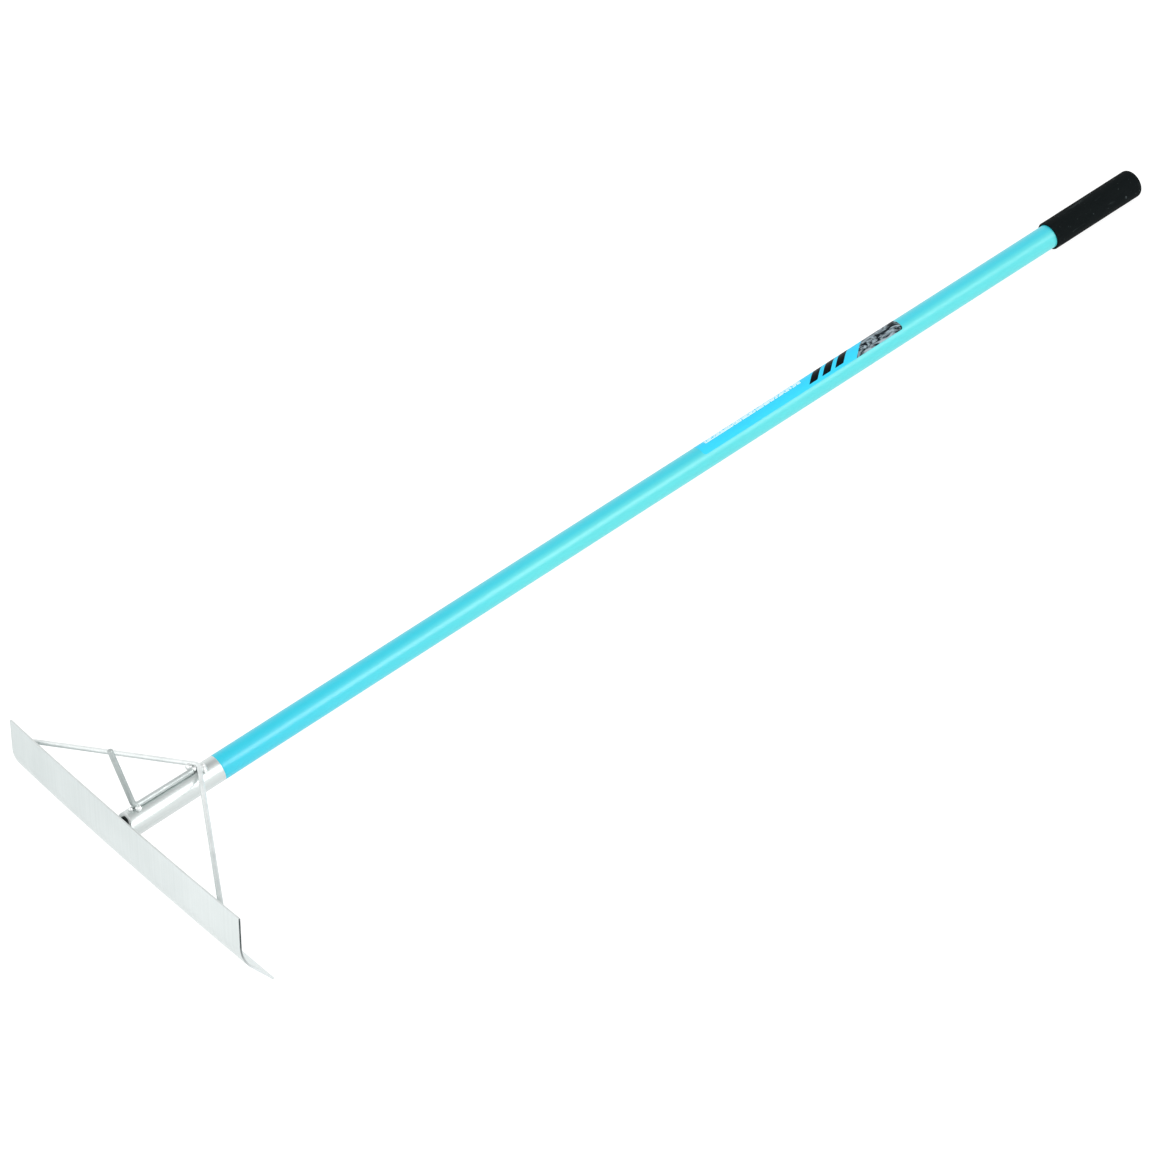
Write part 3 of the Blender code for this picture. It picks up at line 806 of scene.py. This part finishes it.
def foot_bead(node, side, steps=20):
    """A bead round the outer side of a brace's foot, which is an ellipse on the blade's back."""
    points = brace_path()
    arm = (points[-1] - points[-2]).normalized()
    proud, radius, half_turn = 0.0008, 0.0020, 125
    half_length = BRACE_RADIUS / abs(arm.y) + proud
    half_height = BRACE_RADIUS + proud
    path, radii, outward = [], [], []
    for i in range(steps + 1):
        angle = math.radians(-half_turn + 2 * half_turn * i / steps)
        x = side * (BRACE_FOOT_X + half_length * math.cos(angle))
        z = BRACE_FOOT_Z + half_height * math.sin(angle)
        path.append(Vector((x, back_y(x, z) + 0.0005, z)))
        radii.append(radius)
        outward.append(Vector((side * math.cos(angle), 0.9, math.sin(angle))).normalized())
    build_bead(node, path, radii, outward)


def build_welds():
    # top is where the bead round the mouth ends, in degrees from +X towards +Z
    for side, word, top in ((1, "right", 18), (-1, "left", -198)):
        socket_bead("weld_socket_" + word, math.radians(top), math.radians(-90 + side * 1.0))
        foot_bead("weld_brace_" + word, side)
        flank = HOOK_OFFSET + side * 0.0045
        height = hook_lift(HOOK_OFFSET) - 0.0016
        straight_bead("weld_hook_foot_" + word, (flank, HOOK_FOOT_Y + 0.0065, height),
                      (flank, HOOK_FOOT_Y - 0.0015, height), 0.0039, (side, 0, 0.9))
    straight_bead("weld_hook_toe", (-0.0026, 0.0232, 0.0176), (0.0032, 0.0232, 0.0176),
                  0.0034, (0, -0.5, 1))
    straight_bead("weld_hook_rear", (-0.0008, HOOK_REAR_Y + 0.0020, 0.0200),
                  (0.0052, HOOK_REAR_Y + 0.0024, 0.0190), 0.0035, (0, 0.1, 1))
    straight_bead("weld_apex_left", (-0.0134, 0.1080, 0.0160), (-0.0020, 0.1080, 0.0198),
                  0.0041, (-0.2, -0.6, 0.8))
    straight_bead("weld_apex_right", (0.0006, BRACE_APEX_Y + 0.0034, 0.0188),
                  (0.0124, BRACE_APEX_Y, 0.0146), 0.0040, (0.4, 0.6, 0.8))


def build_rivets():
    """Blind rivets under the joint: a domed flange with the broken mandrel in its middle."""
    material = metal("rivet_metal", (0.80, 0.81, 0.82, 1), (0.64, 0.66, 0.67, 1), 0.32,
                     (300, 300, 300), 0.00003, blotch=200)
    seat = TUBE_RADIUS + CLEARANCE
    top = seat + RIVET_DOME
    # (radius, depth under the dome's top) of the mandrel's stump and the hollow round it
    stump = [(0.0002, 0.0009), (0.0009, 0.0009), (0.0010, 0.0005), (0.0011, 0.0002),
             (0.0014, 0.0006), (0.0017, 0.0002), (MANDREL_RADIUS, 0.0)]
    outline = [(radius, top - depth) for radius, depth in stump]
    outline += [(MANDREL_RADIUS + (RIVET_HEAD - MANDREL_RADIUS) * math.sin(a),
                 seat + RIVET_DOME * math.cos(a))
                for a in (math.pi / 2 * i / 10 for i in range(1, 11))]
    outline += [(RIVET_SHANK, seat - 0.0002), (RIVET_SHANK, seat - RIVET_REACH),
                (0.0002, seat - RIVET_REACH - 0.0004)]
    for node, y in RIVETS.items():
        rows = [[Vector((x, y - z, -reach)) for x, reach, z in row]
                for row in turned(outline, RIVET_SIDES)]
        add_piece(node + "_blind", rows, [material], node)


# ---------------------------------------------------------------- label
def build_label():
    """A film 0.1 mm thick with rounded corners, wrapped part of the way round the handle."""
    inner, outer = TUBE_RADIUS + FILM_UNDER, TUBE_RADIUS + FILM_OVER
    corner = LABEL_CORNER
    length = LABEL_END_Y - LABEL_START_Y
    bends = [corner * (1 - math.cos(math.pi / 2 * i / CORNER_STEPS))
             for i in range(CORNER_STEPS + 1)]
    middle = [corner + (length - 2 * corner) * i / 40 for i in range(1, 40)]
    rows = []
    for station in bends + middle + [length - bend for bend in reversed(bends)]:
        near = min(station, length - station)
        cut_back = corner - math.sqrt(max(0.0, corner ** 2 - max(0.0, corner - near) ** 2))
        half = LABEL_HALF_ANGLE - cut_back / TUBE_RADIUS
        angles = [LABEL_MIDDLE - half + 2 * half * i / LABEL_STEPS
                  for i in range(LABEL_STEPS + 1)]
        y = LABEL_START_Y + station
        rows.append([Vector((inner * math.cos(a), y, inner * math.sin(a))) for a in angles]
                    + [Vector((outer * math.cos(a), y, outer * math.sin(a)))
                       for a in reversed(angles)])
    add_piece("label_printed", rows, [label_film()], "label", sharp=60)


# ---------------------------------------------------------------- studio
def build_floor():
    mesh = bpy.data.meshes.new("floor")
    reach = FLOOR_REACH
    mesh.from_pydata([(-reach, -reach, 0), (reach, -reach, 0), (reach, reach, 0),
                      (-reach, reach, 0)], [], [(0, 1, 2, 3)])
    floor = bpy.data.objects.new("floor", mesh)
    bpy.context.scene.collection.objects.link(floor)
    floor.location.z = -FLOOR_DROP
    paint = Finish("floor_paint", (0.20, 0.20, 0.20, 1), 0.9, Emission_Color=(1, 1, 1, 1),
                   Emission_Strength=0.90)
    paint.bump(paint.noise(40, detail=2.0), 0.02, 0.001)
    mesh.materials.append(paint.finish())


def build_key_light():
    """A square of soft light, turned towards the part's centre."""
    light = bpy.data.lights.new("key", "AREA")
    light.shape = "RECTANGLE"
    light.size, light.size_y = KEY_SIZE
    light.energy = KEY_RADIANCE * math.pi * KEY_SIZE[0] * KEY_SIZE[1]
    lamp = bpy.data.objects.new("key", light)
    bpy.context.scene.collection.objects.link(lamp)
    lamp.location = KEY_PLACE
    lamp.rotation_euler = (-Vector(KEY_PLACE)).to_track_quat("-Z", "Y").to_euler()
    lamp.visible_camera = False


def build_world():
    """An even surround with soft lobes."""
    world = bpy.data.worlds.new("studio")
    bpy.context.scene.world = world
    world.use_nodes = True
    tree = world.node_tree
    place = tree.nodes.new("ShaderNodeTexCoord")
    total = AMBIENT
    for direction, half_width, radiance in LOBES:
        dot = tree.nodes.new("ShaderNodeVectorMath")
        dot.operation = "DOT_PRODUCT"
        dot.inputs[1].default_value = Vector(direction).normalized()
        ramp = tree.nodes.new("ShaderNodeMapRange")
        ramp.interpolation_type = "SMOOTHSTEP"
        edge = math.cos(math.radians(half_width * 1.45))
        full = math.cos(math.radians(half_width * 0.55))
        for socket, value in zip((1, 2, 3, 4), (edge, full, 0.0, radiance)):
            ramp.inputs[socket].default_value = value
        add = tree.nodes.new("ShaderNodeMath")
        tree.links.new(place.outputs["Generated"], dot.inputs[0])
        tree.links.new(dot.outputs["Value"], ramp.inputs[0])
        tree.links.new(ramp.outputs[0], add.inputs[0])
        if isinstance(total, float):
            add.inputs[1].default_value = total
        else:
            tree.links.new(total, add.inputs[1])
        total = add.outputs[0]
    tree.nodes["Background"].inputs["Color"].default_value = (1, 1, 1, 1)
    tree.links.new(total, tree.nodes["Background"].inputs["Strength"])


def build_camera():
    """A long lens, from the blade's right end and above."""
    forward, down = Vector(CAMERA_FORWARD), Vector(CAMERA_DOWN)
    right = down.cross(forward)
    turn = Matrix((right, -down, -forward)).transposed().to_4x4()
    camera = bpy.data.objects.new("camera", bpy.data.cameras.new("camera"))
    bpy.context.scene.collection.objects.link(camera)
    camera.matrix_world = TOOL @ Matrix.Translation(CAMERA_AT) @ turn
    camera.data.sensor_width = 36.0
    camera.data.lens = CAMERA_LENS
    camera.data.shift_x = -CAMERA_SHIFT
    camera.data.shift_y = CAMERA_SHIFT
    camera.data.clip_end = 60.0
    bpy.context.scene.camera = camera


def build_studio():
    build_floor()
    build_world()
    build_key_light()
    build_camera()
    bpy.context.scene.view_settings.view_transform = "Standard"


WELD = weld_metal()
build_blade()
build_socket_tube()
build_handle_tube()
build_grip()
build_brace_rod()
build_hook_rod()
build_welds()
build_rivets()
build_label()
sleeve = frame["nodes"]["joining_sleeve"]
sleeve.data.materials.clear()
sleeve.data.materials.append(tube_metal())
build_studio()
